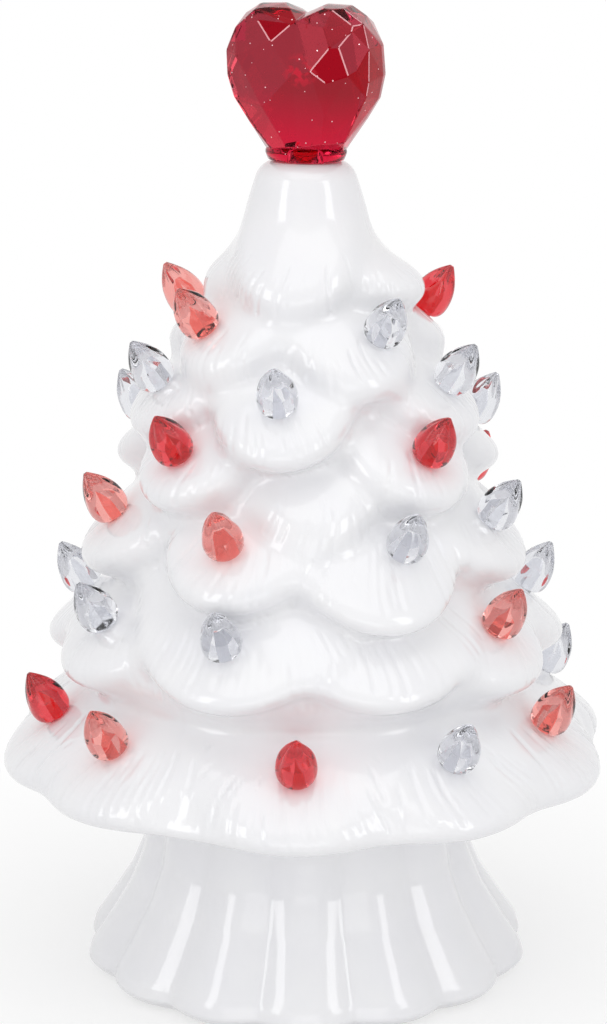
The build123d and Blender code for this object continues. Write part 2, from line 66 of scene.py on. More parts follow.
# Shell: the heights of its tiers are above the top of the base
BASE_HEIGHT = 47.0
SEAT_RADIUS = 40.0
MOUTH_RADIUS = 32.05
MOUTH_EASE = (1.0, 0.8)  # the mouth's lower edge is eased by this much out and up
MOUTH_TOP = BASE_HEIGHT + 5.3
SHOULDER_HEIGHT = BASE_HEIGHT + 15.0
NECK_TOP = BASE_HEIGHT + 146.7
NECK_HOLE = 6.0
NECK_HOLE_BOTTOM = NECK_TOP - 9.7
NECK_HOLE_TOP = NECK_TOP - 0.9
WALL = 6.0
SHELL_COLUMNS = 560
SPLIT_ROW = 128
Tier = namedtuple("Tier", "tip_height reach half_width droop depth skirt throat throat_height lit bare")
TIERS = [  # from the skirt up to the neck
    Tier(9.0, 72.6, 20.0, 27, 8.0, 69.0, 50.0, 25.0, (-74, -46, -2, 33, 65, 108, 159, 200, 242), ()),
    Tier(34.0, 62.8, 18.5, 31, 12.0, 54.0, 42.0, 49.0, (-97, -62, -20, 56, 97, 138, 180, 221), (20,)),
    Tier(56.5, 54.8, 17.5, 35, 12.0, 43.0, 34.5, 70.0, (-76, -23, 29, 68, 123, 159, 195, 233), ()),
    Tier(75.7, 47.8, 15.5, 35, 12.0, 36.0, 29.0, 83.0, (-46, 43, 105, 177, 250), (3, 141, 214)),
    Tier(88.5, 43.3, 16.0, 35, 12.0, 30.5, 23.0, 99.0, (-71, -10, 66, 138, 216), ()),
    Tier(104.0, 34.3, 13.5, 33, 12.0, 24.0, 18.0, 113.0, (-55, 37, 104, 177, 250), ()),
    Tier(120.5, 28.4, 10.5, 12, 9.0, 18.5, 15.1, 131.0, (), (-90, -10, 68, 140, 213)),
]
SKIRT = TIERS[0]
OWN_FORMS = {  # turn, droop, reach, height, half width and length of single lobes beyond their tier's
    (120.5, -90): (0, 0, -5.0, 0, 0, 0),
    (120.5, -10): (0, 28, -2.5, -3.0, 2.0, 0),
    (120.5, 68): (0, 0, 1.0, 0, 0, 0),
    (104.0, -55): (8, 0, 0, 0, 0.5, 1.5),
    (104.0, 37): (-10, 0, 0, -1.5, 1.5, 3.0),
    (88.5, -10): (0, 0, 0, -0.5, 0, 2.0),
    (75.7, 3): (0, 0, -1.5, -6.5, -3.5, 0),
    (56.5, -23): (1, 0, 0, 0, 0, 1.0),
    (56.5, 29): (-7, 0, 0, -2.5, 3.0, 4.5),
    (34.0, 20): (0, 0, -2.0, 3.0, 7.0, 3.0),
    (34.0, -20): (1, 0, -1.0, 3.0, 6.5, 3.0),
}
LOBE_CROWN = 0.07
LOBE_RIM_DROP = 1.4
LOBE_ROUNDING = 6.0
LOBE_FULLNESS = 1.0  # rounding the rim thins a lobe, and this much is given back
LOBE_SOFTNESS = 4.0
ROOT_SOFTNESS = 8.0

# Trunk
NECK_OUTLINE = [(-9.0, 13.3), (-1.5, 10.9), (4.0, 9.6)]  # height over the neck's top, and radius
SKIRT_DROP = 2.0
SKIRT_DISH = 0.173
SKIRT_EDGE_ROUNDING = 3.0
NECK_ROUNDING = 4.0
TRUNK_EASE = 0.8  # keeps the gap from the sloping outline below the true distance
TRUNK_STEP = 0.5
TRUNK_MARGIN = 6.0
TRUNK_SMOOTHING = 3.0

# Rays to the skin: rows to the next station, height on the axis, outer radius and height, over the base
RAY_STATIONS = [
    (10, 135, 13.5, 160),
    (16, 135, 30.0, 151),
    (12, 129, 60.0, 131),
    (196, 123, 60.0, 123),
    (14, 19, 95.0, 19),
    (22, 33, 95.0, 5),
    (1, 53, 76.0, -21),
]
TRACE_STEPS = 46
TRACE_SHARE = 0.8
FAR = 1e3
LOBE_MARGIN = 7.0
LOBE_SPAN = 48.0
WIDEST_SINE = 0.98

# Combed needle strokes: shares are of the fan's reach, which starts FAN_ROOT widths behind a lobe's middle
NEEDLE_PITCH = 2.5
NEEDLE_DEPTH = 0.3
SKIRT_DEEPER = 1.7
STROKES = 64
STROKE_STARTS = (0.56, 0.84)
STROKE_ENDS = (0.93, 1.02)
STROKE_DEPTHS = (0.25, 1.0)
STROKE_SHIFTS = (-0.25, 0.25)
STROKE_WIDTH = 0.24
STROKE_FADE_IN = 0.09
STROKE_FADE_OUT = 0.06
STROKE_SWAY = 0.05
STROKE_WAVE = 7
STROKE_FACING = (-0.1, 0.35)
FAN_ROOT = 1.3
FAN_REACH = 2.3

# Bulbs: seats as drilled in the lobes, then the outline's Bezier corners as (radius, height)
SEAT_DROOPS = {9.0: 24, 34.0: 24, 56.5: 26, 75.7: 24, 88.5: 25, 104.0: 25}
SEAT_CROWN = 0.26
SEAT_OFFSET = 5.0
SEAT_SLIDE = 3.5
SEAT_STEPS = 71
PEG_RADIUS = 2.4
PEG_LENGTH = 6.0
PEG_TOP = -0.4
PEG_CHAMFER = 0.3
BULB_OUTLINE = [(2.4, 0.0), (6.3, 0.7), (5.2, 7.8), (0.0, 13.0)]
BULB_ROWS = 34
BULB_COLUMNS = 40
BULB_PLEATS = 5
FULL_TURN = 6.28
PLEAT_TWIST = 1.3
PLEAT_LEVEL = 0.62
PLEAT_SWELL = 0.24
PLEAT_RISE = (0.25, 0.75)
BORE_SIDES = 6
BORE_OUTLINE = [(0.2, 7.4), (1.9, 4.6), (2.1, 1.0), (1.5, -3.0), (1.5, -5.0), (0.2, -5.0)]

# Fluted base: crests and flute depths by height up the flare, collar and inside as (radius, height)
BASE_CRESTS = [(0.0, 47.6), (0.9, 51.0), (3.0, 53.2), (6.2, 52.3), (12.0, 48.3), (20.4, 43.0), (28.8, 39.5),
               (38.0, 37.9), (46.5, 37.5)]
FLUTES = 14
FLUTE_DEPTHS = [(0.0, 2.2), (3.0, 2.6), (8.6, 2.6), (19.5, 2.1), (32.5, 1.5), (46.5, 1.1)]
FLUTE_VALLEY = 0.05
BASE_COLUMNS = 336
BASE_COLLAR = [(27.4, 5.0), (31.3, 5.0), (31.7, 4.6), (31.7, 0.4), (32.1, 0.0), (35.8, 0.0)]  # over its top
BASE_INSIDE = [(38.1, 0.0), (37.6, 0.5), (37.6, 4.5), (35.5, 4.5), (35.5, 14.0), (27.0, 36.0),
               (27.0, BASE_HEIGHT + 4.6)]
FOOT_EDGE = [(0.7, 0.06), (1.5, 0.0)]  # how far in from the flare's last row, and height
FLARE_TOP = BASE_HEIGHT - 0.5
FLARE_FINE = 4.5
FLARE_BOTTOM = 0.25
FLARE_ROW = 0.9
FLARE_FINE_ROW = 0.3
CREST_STEP = 0.25
CREST_SMOOTHING = 3

# Heart: corners of the right and left half as (across, up from the neck, out from the middle)
HEART_YAW = -16.0
HEART_GIRDLE = [(0, 33.2), (4.6, 35.4), (10.0, 35.2), (13.2, 33.0), (17.0, 26.6), (17.5, 20.0),
                (16.4, 14.6), (13.6, 9.8), (8.6, 2.2), (0, 2.2)]
HEART_GIRDLE_DEPTH = 1.0
HEART_BACK = 0.93
HEART_CENTRE = 18
HEART_WIDEN = 1.05
HEART_MIDDLE = [(0, 32.3, 8.2), (0, 21.0, 11.6), (0, 3.8, 8.2)]
HEART_RIGHT = [
    (5.3, 35.0, 5.4), (6.3, 31.2, 9.3), (7.2, 34.8, 6.0), (9.5, 35.0, 4.8), (12.5, 31.6, 8.2),
    (14.4, 31.9, 6.4), (12.4, 30.4, 9.0), (10.1, 27.1, 10.9), (12.3, 20.8, 11.0), (8.2, 27.0, 11.3),
    (4.2, 21.7, 12.5), (7.6, 19.2, 12.2), (15.8, 26.3, 7.0), (15.8, 19.0, 7.0), (15.2, 15.6, 6.8),
    (13.6, 12.4, 6.6), (10.0, 4.8, 5.6), (13.9, 21.8, 9.9), (5.6, 4.8, 8.0), (7.0, 12.0, 10.8),
]
HEART_LEFT = [
    (9.9, 34.4, 5.4), (8.8, 32.1, 7.4), (5.0, 27.8, 10.6), (1.0, 31.6, 8.8), (7.3, 34.8, 5.0),
    (2.3, 34.8, 5.0), (14.0, 30.3, 6.6), (16.1, 25.1, 6.4), (15.9, 19.5, 6.4), (14.4, 14.4, 6.2),
    (11.0, 8.9, 6.0), (6.5, 2.8, 5.4), (2.2, 3.8, 8.2), (7.2, 13.2, 10.0), (13.3, 24.3, 8.9),
]
HEART_HIGHLIGHT_CHAINS = [  # chains of corners whose bevels get a painted highlight, seen as fine bright lines
    [(-8.8, 32.1), (-5.0, 27.8), (-1.0, 31.6)],
    [(5.3, 35.0), (6.3, 31.2)],
    [(7.2, 34.8), (12.5, 31.6), (14.4, 31.9), (9.5, 35.0)],
    [(12.5, 31.6), (12.4, 30.4), (10.1, 27.1), (12.3, 20.8)],
    [(8.2, 27.0), (4.2, 21.7), (7.6, 19.2)],
    [(14.4, 31.9), (15.8, 26.3), (15.8, 19.0), (15.2, 15.6), (13.6, 12.4), (10.0, 4.8)],
]
HIGHLIGHT_REACH = 0.5  # a bevel this close to the middle of a highlighted edge gets the painted highlight
HEART_PAINTED_REFLECTIONS = np.array([  # across, up, and how much painted rose reflection the front facet there has
    (-4, 32.3, 0.0), (-8.3, 33.2, 1.0), (-9, 21, 1.0), (-3, 24, 0.9), (-8, 11, 0.7), (0, 10, 0.5),
    (4, 33, 0.95), (3, 28, 0.9), (9, 31, 0.45), (10.5, 33.4, 1.0), (7.6, 23.2, 0.0), (12.4, 26, 1.0),
    (16.8, 23, 0.05), (16.0, 31, 0.4), (16.2, 15, 0.1), (12.6, 8, 0.25), (11, 15, 0.35),
])
HEART_FRONT = -2.0
# share of painted rose reflection on the back and side facets
HEART_BACK_PAINTED_REFLECTION = 0.35
# Painted glow: the heart's red brightens from the first height down to the second
HEART_PAINTED_GLOW = (NECK_TOP + 17, NECK_TOP + 1)
# Painted glints: place of the bright red spots in the heart's colour
HEART_PAINTED_GLINT = (-1.5, -12.0, NECK_TOP + 21.5)
HEART_SEAM = 1e-4  # faces this close to the middle plane are left open
HEART_MERGE = 0.01
HEART_FLAT_ANGLE = 2.5
HEART_BEVEL = 0.16
HEART_FOOT = (9.0, 7.8)
HEART_FOOT_HEIGHT = 3.2
FOOT_ROLL = 1.3
FOOT_ROLL_ANGLES = np.linspace(np.pi / 2, -0.2, 9)
FOOT_UNDERCUT = [(0.5, 0.25), (1.2, 0.0)]  # how far in from the foot's widest, and height
STEM_RADIUS = 5.65
STEM_LENGTH = 13.0
STEM_TOP = 1.5
STEM_CHAMFER = 0.5
STEM_COLUMNS = 72
STEM_BORE_RADIUS = 3.0
STEM_BORE_TOP = 3.0
STEM_BORE_COLUMNS = 48
BORE_POINT = (0.6, 1.5)  # radius and length of the bore's point
BORE_OVERSHOOT = 1.0

# Finishes
GLAZE_POOL = 14.0
GLAZE_PEEL = 2.2
GLAZE_PEEL_DEPTH = 0.25
FLECK_PITCH = 1.5
FLECK_RADIUS = 0.11  # as a share of the pitch
FLECK_CHANCE = 0.62  # cells whose draw is below this have no fleck
# Painted glints in the heart's colour: their reach, grain and spots
GLINT_EDGE = 4.6
GLINT_CORE = 1.0
GLINT_GRAIN = 1.6
GLINT_SPOTS = (0.48, 0.6)
PLAIN_WANDER = 0.06
PLAIN_GRAIN_DEPTH = 0.05

# Studio
LAMPS = [  # name, place, aim, width and height, all in metres, and watts
    ("lamp_top", (0, -0.25, 1.0), (0, 0, 0.1), (0.9, 0.7), 1.6),
    ("lamp_left", (-0.75, -0.65, 0.55), (0, 0, 0.11), (0.25, 0.7), 1.25),
    ("lamp_front", (0, -1.0, 0.16), (0, 0, 0.1), (0.8, 0.5), 0.9),
    ("lamp_right", (0.75, -0.65, 0.55), (0, 0, 0.11), (0.25, 0.7), 1.25),
]
WORLD_FILL = 0.66
FLOOR_HALF = 2000.0
FLOOR_LEVEL = -0.05
FLOOR_FADE = (50.0, 160.0)
FLOOR_WHITE = (0.65, 1.0)


def smooth_max(a, b, width):
    """The larger of two fields, with a parabola of the given width where they are close."""
    near = np.clip(width - np.abs(a - b), 0, None) / width
    return np.maximum(a, b) + near * near * width / 4


def smooth_min(a, b, width):
    """The smaller of two fields, rounded as in smooth_max."""
    return -smooth_max(-a, -b, width)


def smooth_step(low, high, value):
    """0 below low, 1 above high, and a cubic ease between."""
    t = np.clip((value - low) / (high - low), 0, 1)
    return t * t * (3 - 2 * t)


def running_mean(values, reach, padding):
    """Values averaged over reach steps to either side, with a raised cosine as weights."""
    kernel = np.hanning(2 * reach + 3)[1:-1]
    return np.convolve(np.pad(values, reach, mode=padding), kernel / kernel.sum(), mode="valid")


def round_bearings(columns):
    """Bearings of columns at an even pitch all round."""
    return np.arange(columns) * 360.0 / columns


def bearing_vectors(bearings):
    """Level unit vectors out of the trunk."""
    angle = np.radians(bearings)
    return np.stack([np.sin(angle), -np.cos(angle), np.zeros_like(angle)], -1)


def put_mesh(name, points, faces, smooth=True):
    """A mesh object from points in millimetres and arrays or lists of face corners."""
    mesh = bpy.data.meshes.new(name)
    mesh.from_pydata((np.asarray(points) * MM).tolist(), [], [list(face) for face in faces])
    mesh.polygons.foreach_set("use_smooth", np.broadcast_to(smooth, len(mesh.polygons)).astype(bool))
    mesh.update()
    piece = bpy.data.objects.new(name, mesh)
    bpy.context.scene.collection.objects.link(piece)
    return piece


def ring_faces(rows, columns, closed=False):
    """Quads of a grid whose columns run round a ring, and whose rows close on the first where asked."""
    row = np.arange(rows if closed else rows - 1)[:, None]
    column = np.arange(columns)[None, :]
    below, beside = (row + 1) % rows, (column + 1) % columns
    corners = [(row, column), (below, column), (below, beside), (row, beside)]
    return np.stack([r * columns + c for r, c in corners], -1).reshape(-1, 4)


def capped_rings(rings):
    """Points and faces of rings (rows, columns, 3) from the top down, closed by a fan at either end."""
    rows, columns = rings.shape[:2]
    points = np.concatenate([rings.reshape(-1, 3), rings[:1].mean(1), rings[-1:].mean(1)])
    column = np.arange(columns)
    beside = (column + 1) % columns
    bottom = (rows - 1) * columns
    top_fan = np.stack([np.full(columns, rows * columns), column, beside], -1)
    bottom_fan = np.stack([np.full(columns, rows * columns + 1), bottom + beside, bottom + column], -1)
    return points, ring_faces(rows, columns).tolist() + top_fan.tolist() + bottom_fan.tolist()


def turned(radii, heights, columns, scale=(1.0, 1.0)):
    """Rings of the given radii and heights round the upright axis, stretched across and in depth."""
    out = bearing_vectors(round_bearings(columns)) * [*scale, 0.0]
    radii, heights = np.asarray(radii, float), np.asarray(heights, float)
    return out[None] * radii[:, None, None] + UP * heights[:, None, None]


def bezier(corners, count):
    """Points of a cubic Bezier curve at even steps."""
    s = np.linspace(0, 1, count)[:, None]
    a, b, c, d = np.array(corners, float)
    return (1 - s) ** 3 * a + 3 * (1 - s) ** 2 * s * b + 3 * (1 - s) * s * s * c + s**3 * d


# Frames of the lobes
Lobe = namedtuple("Lobe", "tier bearing width stretch middle along across normal")


def rim_frame(bearing, droop):
    """Way out of the trunk, way to the tip and normal of a rim disc that leans down by the droop."""
    out = bearing_vectors(np.array(float(bearing)))
    lean = math.radians(droop)
    return out, out * math.cos(lean) - UP * math.sin(lean), out * math.sin(lean) + UP * math.cos(lean)


def lobe_of(tier, bearing):
    """Rim disc of a lobe, its width back from the tip, turned, tilted, widened or lengthened where set."""
    own = OWN_FORMS.get((tier.tip_height, bearing), (0, 0, 0, 0, 0, 0))
    turn, tilt, reach, height, width, length = own
    out, along, normal = rim_frame(bearing + turn, tier.droop + tilt)
    width += tier.half_width
    tip = out * (tier.reach + reach) + UP * (BASE_HEIGHT + tier.tip_height + height)
    across = np.cross(normal, along)
    return Lobe(tier, bearing + turn, width, 1 + length / width, tip - along * width, along, across, normal)


LOBES = [lobe_of(tier, bearing) for tier in TIERS for bearing in tier.lit + tier.bare]


def lobe_field(points, lobe):
    """Distance-like field of a pebble: a crown and an under sphere through one rim, softly intersected."""
    width, crown, depth = lobe.width, lobe.width * LOBE_CROWN, lobe.tier.depth
    offset = points - lobe.middle
    height = offset @ lobe.normal
    across = (offset @ lobe.across) ** 2 + (offset @ lobe.along / lobe.stretch) ** 2
    rise, fall = crown + LOBE_RIM_DROP, depth - LOBE_RIM_DROP
    top_radius = (width**2 + rise**2) / (2 * rise)
    under_radius = (width**2 + fall**2) / (2 * fall)
    top = np.sqrt(across + (height - crown + top_radius) ** 2) - top_radius
    under = np.sqrt(across + (height + depth - under_radius) ** 2) - under_radius
    return smooth_max(top, under, LOBE_ROUNDING) - LOBE_FULLNESS


def trunk_table():
    """Heights and radii of the trunk's outline, waisted above each tier, smoothed by a running mean."""
    outline = [(BASE_HEIGHT, SKIRT.skirt)]
    for tier in TIERS:
        outline.append((BASE_HEIGHT + tier.tip_height - SKIRT_DROP, tier.skirt))
        outline.append((BASE_HEIGHT + tier.throat_height, tier.throat))
    outline += [(NECK_TOP + above, radius) for above, radius in NECK_OUTLINE]
    heights = np.arange(BASE_HEIGHT - TRUNK_MARGIN, NECK_TOP + TRUNK_MARGIN, TRUNK_STEP)
    radii = np.interp(heights, *np.array(outline).T)
    return heights, running_mean(radii, int(TRUNK_SMOOTHING / TRUNK_STEP), "edge")


TRUNK = trunk_table()


def trunk_field(points):
    """Gap from the trunk's outline, softly cut by the flat neck top and the skirt's dished underside."""
    radius = np.hypot(points[..., 0], points[..., 1])
    height = points[..., 2]
    side = (radius - np.interp(height, *TRUNK)) * TRUNK_EASE
    under = BASE_HEIGHT + np.clip(radius - SEAT_RADIUS, 0, None) * SKIRT_DISH - height
    return smooth_max(smooth_max(side, under, SKIRT_EDGE_ROUNDING), height - NECK_TOP, NECK_ROUNDING)


def shell_field(points, masks):
    """Soft union of the lobes, each over its own points, and the trunk; also which lobe is nearest."""
    least = np.full(len(points), FAR)
    lobed = least.copy()
    nearest = np.zeros(len(points), int)
    for index, (lobe, mask) in enumerate(zip(LOBES, masks)):
        value = lobe_field(points[mask], lobe)
        lobed[mask] = smooth_min(lobed[mask], value, LOBE_SOFTNESS)
        nearest[mask[value < least[mask]]] = index
        least[mask] = np.minimum(least[mask], value)
    return smooth_min(lobed, trunk_field(points), ROOT_SOFTNESS), nearest


def trace(start, direction, masks):
    """Walks points from start along direction by a share of the shell's field until they reach its skin."""
    points = start.copy()
    for _ in range(TRACE_STEPS):
        field, nearest = shell_field(points, masks)
        points += direction * (field * TRACE_SHARE)[:, None]
    return points, nearest


def shell_rays(columns):
    """Rays from outside to the axis: falling over the neck, level down the tree, rising under the skirt."""
    stations = np.array(RAY_STATIONS) + [0, BASE_HEIGHT, 0, BASE_HEIGHT]
    knots = np.concatenate([[0], np.cumsum(stations[:-1, 0])])
    rows = np.arange(int(knots[-1]) + 1)
    axis_height, radius, height = (np.interp(rows, knots, stations[:, k])[:, None, None] for k in (1, 2, 3))
    out = bearing_vectors(round_bearings(columns))[None]
    start = out * radius + UP * height
    direction = UP * axis_height - start
    direction /= np.linalg.norm(direction, axis=-1, keepdims=True)
    return start, direction


def lobe_masks(start):
    """Indices of the rays that can meet each lobe, within its spread of bearings and span of heights."""
    rows, columns = start.shape[:2]
    bearing = np.tile(round_bearings(columns), rows)
    row_height = np.repeat(start[:, 0, 2], columns)
    masks = []
    for lobe in LOBES:
        turn = (bearing - lobe.bearing + 180) % 360 - 180
        sine = (lobe.width + LOBE_MARGIN) / np.hypot(*lobe.middle[:2])
        spread = math.degrees(math.asin(min(WIDEST_SINE, sine)))
        near = (np.abs(turn) < spread) & (np.abs(row_height - lobe.middle[2]) < LOBE_SPAN)
        masks.append(np.nonzero(near)[0])
    return masks


def grid_normals(grid):
    """Outward normals of a grid of rings, from the cross product of its row and column steps."""
    down = np.gradient(grid, axis=0)
    beside = np.roll(grid, -1, 1) - np.roll(grid, 1, 1)
    normal = np.cross(beside, down)
    normal /= np.linalg.norm(normal, axis=-1, keepdims=True) + TINY
    inward = (normal * (grid * [1, 1, 0])).sum() < 0
    return -normal if inward else normal


def needle_relief(points, normals, nearest):
    """Depth of the combed needle strokes: grooves that fan out of each lobe's root and end at its rim."""
    depth = np.zeros(len(points))
    for index, lobe in enumerate(LOBES):
        starts, ends = rng.uniform(*STROKE_STARTS, STROKES), rng.uniform(*STROKE_ENDS, STROKES)
        deeps, shifts = rng.uniform(*STROKE_DEPTHS, STROKES) ** 2, rng.uniform(*STROKE_SHIFTS, STROKES)
        mask = np.nonzero(nearest == index)[0]
        offset = points[mask] - lobe.middle
        x, y = offset @ lobe.along + FAN_ROOT * lobe.width, offset @ lobe.across
        reach = np.hypot(x, y) / (FAN_REACH * lobe.width)
        angle = np.arctan2(y, x) + STROKE_SWAY * np.sin(reach * STROKE_WAVE + index)
        stroke = angle * FAN_REACH * lobe.width / NEEDLE_PITCH
        count = np.floor(stroke).astype(int)
        pick = count % STROKES
        groove = np.exp(-(((stroke - count - 0.5 + shifts[pick]) / STROKE_WIDTH) ** 2))
        fade_in = smooth_step(starts[pick], starts[pick] + STROKE_FADE_IN, reach)
        fade_out = 1 - smooth_step(ends[pick], ends[pick] + STROKE_FADE_OUT, reach)
        facing = smooth_step(*STROKE_FACING, normals[mask] @ lobe.normal)
        deeper = SKIRT_DEEPER if lobe.tier is SKIRT else 1
        depth[mask] = groove * (fade_in * fade_out) * facing * deeps[pick] * deeper
    return depth * NEEDLE_DEPTH


def shell_inside():
    """Radii and heights of the shell's turned inside, from the mouth up to the hole in the neck."""
    out, up = MOUTH_EASE
    inside = [(MOUTH_RADIUS + out, BASE_HEIGHT), (MOUTH_RADIUS, BASE_HEIGHT + up)]
    inside += [(MOUTH_RADIUS, MOUTH_TOP), (SKIRT.throat - WALL, SHOULDER_HEIGHT)]
    inside += [(tier.throat - WALL, BASE_HEIGHT + tier.throat_height) for tier in TIERS]
    inside += [(NECK_HOLE, NECK_HOLE_BOTTOM), (NECK_HOLE, NECK_HOLE_TOP)]
    return np.array(inside).T


def make_shell(columns, split):
    """The glazed shell as an upper and a lower closed ring, which meet at one traced row.

    Rays are traced to the soft union of trunk and lobes and the skin is then combed; the inside is turned.
    """
    start, direction = shell_rays(columns)
    rows = len(start)
    points, nearest = trace(start.reshape(-1, 3), direction.reshape(-1, 3), lobe_masks(start))
    normals = grid_normals(points.reshape(rows, columns, 3)).reshape(-1, 3)
    points -= normals * needle_relief(points, normals, nearest)[:, None]
    skin = points.reshape(rows, columns, 3)
    normals = grid_normals(skin)
    radius, height = shell_inside()
    level = skin[split, :, 2].mean()
    meet = np.interp(level, height, radius)
    above, below = height > level, height < level
    parts = []
    for name, band, inner in (
        ("tree_upper_glazed", slice(0, split + 1), ([meet, *radius[above]], [level, *height[above]])),
        ("tree_lower_glazed", slice(split, rows), ([*radius[below], meet], [*height[below], level])),
    ):
        grid = np.concatenate([skin[band], turned(*inner, columns)])
        piece = put_mesh(name, grid.reshape(-1, 3), ring_faces(len(grid), columns, closed=True))
        held = np.concatenate([normals[band].reshape(-1, 3), np.zeros((len(inner[0]) * columns, 3))])
        piece.data.normals_split_custom_set_from_vertices(held.tolist())
        parts.append(piece)
    return parts


def make_base(name, columns):
    """Fluted flare: crest radius by height, less the flute depth times a parabola rounded in its valley."""
    coarse = np.arange(FLARE_TOP, FLARE_FINE, -FLARE_ROW)
    heights = np.concatenate([coarse, np.arange(FLARE_FINE, FLARE_BOTTOM, -FLARE_FINE_ROW)])
    fine = np.arange(0.0, BASE_HEIGHT + 2 * CREST_STEP, CREST_STEP)
    crests = running_mean(np.interp(fine, *np.array(BASE_CRESTS).T), CREST_SMOOTHING, "reflect")
    crest = np.interp(heights, fine, crests)[:, None]
    depth = np.interp(heights, *np.array(FLUTE_DEPTHS).T)[:, None]
    place_in = np.abs((np.arange(columns) * FLUTES / columns + 0.5) % 1 - 0.5) * 2
    rounded = np.sqrt((1 - place_in**2) ** 2 + FLUTE_VALLEY)
    crest_level, valley_level = math.sqrt(1 + FLUTE_VALLEY), math.sqrt(FLUTE_VALLEY)
    valley = (crest_level - rounded) / (crest_level - valley_level)
    radius = crest - depth * valley
    out = bearing_vectors(round_bearings(columns))[None]
    flare = out * radius[..., None] + UP * heights[:, None, None]
    inset, level = np.array(FOOT_EDGE).T[..., None]
    foot = out * (radius[-1:] - inset)[..., None] + UP * level[..., None]
    collar_radii, collar_heights = np.array(BASE_COLLAR).T
    above = turned(collar_radii, BASE_HEIGHT + collar_heights, columns)
    below = turned(*np.array(BASE_INSIDE).T, columns)
    grid = np.concatenate([above, flare, foot, below])
    return put_mesh(name, grid.reshape(-1, 3), ring_faces(len(grid), columns, closed=True))


def bulb_seats():
    """Seat, axis and way to the tip for every bulb by node name, slid along its axis onto the skin."""
    slide = np.linspace(SEAT_SLIDE, -SEAT_SLIDE, SEAT_STEPS)[:, None]
    every_lobe = [np.arange(SEAT_STEPS)] * len(LOBES)
    seats = {}
    for row, tier in enumerate(reversed(TIERS), start=1):
        for count, bearing in enumerate(tier.lit, start=1):
            out, along, normal = rim_frame(bearing, SEAT_DROOPS[tier.tip_height])
            middle = out * tier.reach + UP * (BASE_HEIGHT + tier.tip_height) - along * tier.half_width
            crown = tier.half_width * SEAT_CROWN
            dome = (tier.half_width**2 + crown**2) / (2 * crown)
            lean = math.asin(SEAT_OFFSET / dome)
            axis = along * math.sin(lean) + normal * math.cos(lean)
            seat = middle + along * SEAT_OFFSET + normal * (crown - dome * (1 - math.cos(lean)))
            line = seat + axis * slide
            reached = np.nonzero(shell_field(line, every_lobe)[0] <= 0)[0]
            seats[f"bulb_tier{row}_{count}"] = line[reached[0] if len(reached) else -1], axis, along
    return seats


def round_rings(radii, heights, angles):
    """Rings in a bulb's own frame, from radii and angles round its axis and heights along it."""
    level = np.broadcast_to(heights, radii.shape)
    return np.stack([radii * np.cos(angles), radii * np.sin(angles), level], -1)


def make_bulb(name, seat, axis, along, turn):
    """Almond of a Bezier outline with twisted pleats towards its tip, on a peg, round a six-sided bore."""
    outline = bezier(BULB_OUTLINE, BULB_ROWS)[::-1]
    radius = np.concatenate([outline[1:, 0], [PEG_RADIUS, PEG_RADIUS, PEG_RADIUS - PEG_CHAMFER]])[:, None]
    height = np.concatenate([outline[1:, 1], [PEG_TOP, PEG_CHAMFER - PEG_LENGTH, -PEG_LENGTH]])[:, None]
    share = np.clip(height / BULB_OUTLINE[-1][1], 0, 1)
    angle = np.arange(BULB_COLUMNS)[None] * 2 * np.pi / BULB_COLUMNS + turn
    pleat = np.abs(np.sin(BULB_PLEATS * angle / 2 + PLEAT_TWIST * share))
    swell = 1 + (pleat - PLEAT_LEVEL) * PLEAT_SWELL * smooth_step(*PLEAT_RISE, share)
    points, faces = capped_rings(round_rings(radius * swell, height, angle))
    bore_angle = np.arange(BORE_SIDES)[None] * 2 * np.pi / BORE_SIDES + turn
    bore_radius, bore_height = np.array(BORE_OUTLINE).T[..., None]
    bore_rings = round_rings(bore_radius * np.ones(BORE_SIDES), bore_height, bore_angle)
    bore_points, bore_faces = capped_rings(bore_rings)
    inward = [[len(points) + corner for corner in reversed(face)] for face in bore_faces]
    smooth = [True] * len(faces) + [False] * len(inward)
    across = np.cross(axis, along)
    own_axes = np.stack([across, -np.cross(across, axis), axis])
    local = np.concatenate([points, bore_points])
    return put_mesh(name, seat + local @ own_axes, faces + inward, smooth)


def hull_half(side, corners):
    """Faces of the convex hull of one half of the heart, open at its middle plane."""
    points = []
    for face in (-1, 1):
        points += [(side * x, face * HEART_GIRDLE_DEPTH, z) for x, z in HEART_GIRDLE]
        share = HEART_BACK if face > 0 else 1.0
        points += [(side * x * share, face * y, HEART_CENTRE + (z - HEART_CENTRE) * share)
                   for x, z, y in corners + HEART_MIDDLE]
    shape = bmesh.new()
    for point in points:
        shape.verts.new(point)
    hull = bmesh.ops.convex_hull(shape, input=shape.verts)
    unused = hull["geom_interior"] + hull["geom_unused"]
    loose = {item for item in unused if isinstance(item, bmesh.types.BMVert)}
    bmesh.ops.delete(shape, geom=list(loose), context="VERTS")
    flat = [face for face in shape.faces if max(abs(vert.co.x) for vert in face.verts) < HEART_SEAM]
    bmesh.ops.delete(shape, geom=flat, context="FACES_ONLY")
    faces = [[tuple(vert.co) for vert in face.verts] for face in shape.faces]
    shape.free()
    return faces


